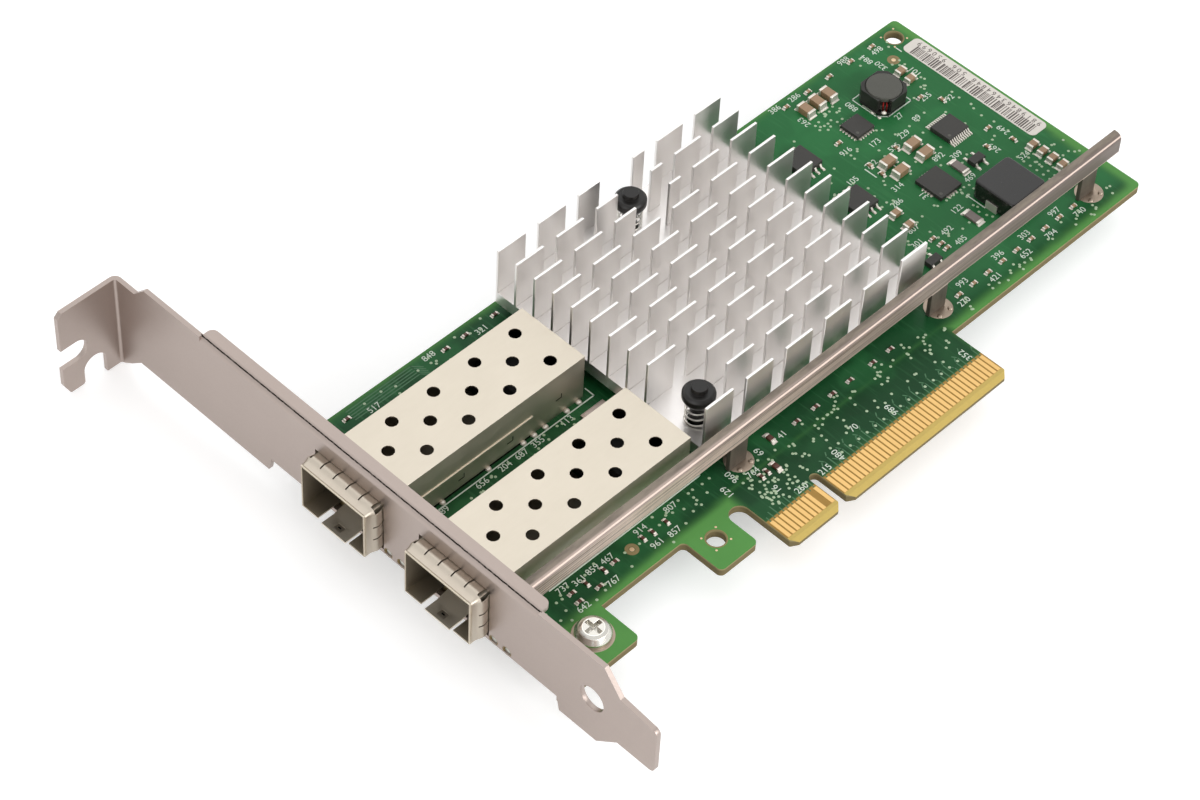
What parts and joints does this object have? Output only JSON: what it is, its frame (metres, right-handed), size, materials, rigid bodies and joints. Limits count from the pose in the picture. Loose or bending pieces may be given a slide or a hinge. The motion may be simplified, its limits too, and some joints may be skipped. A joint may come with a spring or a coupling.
{
  "type": "network interface card",
  "caption": "Full-height network interface card with pluggable optical ports, a cross-cut finned heat sink, a stiffening rail and a gold edge connector.",
  "frame": {"origin": "centre of the connector key notch at the card's lower edge, on the board's component face", "axes": "+X from the mounting bracket to the card's far end, +Y from the edge connector to the top edge, +Z out of the component face"},
  "size_m": [0.1586, 0.121, 0.0223],
  "materials": {
    "laminate": "green solder mask over glass-fibre laminate",
    "gold": "gold plating",
    "nickel_sheet": "satin nickel-plated sheet",
    "cage_sheet": "matte nickel-plated copper alloy sheet",
    "aluminium": "satin extruded and cross-cut",
    "screw_steel": "bright plated",
    "tin": "bright solder",
    "black_nylon": "moulded black",
    "spring_steel": "drawn wire",
    "chip_epoxy": "moulded dark grey",
    "connector_plastic": "moulded black",
    "ferrite": "dark grey sintered",
    "enamel_wire": "red enamelled copper",
    "capacitor_ceramic": "tan brown",
    "thermal_rubber": "soft grey pad",
    "label_paper": "off-white satin film",
    "clear_plastic": "clear lens"
  },
  "bodies": {
    "root": {"circuit_board": "laminate", "edge_contacts": "gold", "bracket": "nickel_sheet", "bracket_screw": "screw_steel", "status_lights": "clear_plastic", "port_cage_1": "cage_sheet", "port_cage_2": "cage_sheet", "spring_collar_1": "cage_sheet", "spring_collar_2": "cage_sheet", "port_connector_1": "connector_plastic", "port_connector_2": "connector_plastic", "port_contacts_1": "gold", "port_contacts_2": "gold", "controller_chip": "chip_epoxy", "thermal_pad": "thermal_rubber", "heat_sink": "aluminium", "push_pins": "black_nylon", "push_pin_springs": "spring_steel", "stiffening_rail": "nickel_sheet", "drum_inductor_base": "connector_plastic", "drum_inductor_shield": "ferrite", "drum_inductor_terminals": "tin", "drum_inductor_core": "ferrite", "drum_inductor_winding": "enamel_wire", "power_inductor": "ferrite", "power_inductor_terminals": "tin", "power_controller": "chip_epoxy", "power_controller_leads": "tin", "power_stage": "chip_epoxy", "power_stage_leads": "tin", "logic_chip": "chip_epoxy", "logic_chip_leads": "tin", "transistors": "chip_epoxy", "transistor_leads": "tin", "memory_chips": "chip_epoxy", "memory_chip_leads": "tin", "large_capacitors": "capacitor_ceramic", "large_capacitors_ends": "tin", "medium_capacitors": "capacitor_ceramic", "medium_capacitors_ends": "tin", "small_parts": "chip_epoxy", "large_resistors": "chip_epoxy", "large_resistors_ends": "tin", "fuses": "capacitor_ceramic", "fuses_ends": "tin", "crystal": "cage_sheet", "identification_label": "label_paper"}
  },
  "joints": []
}
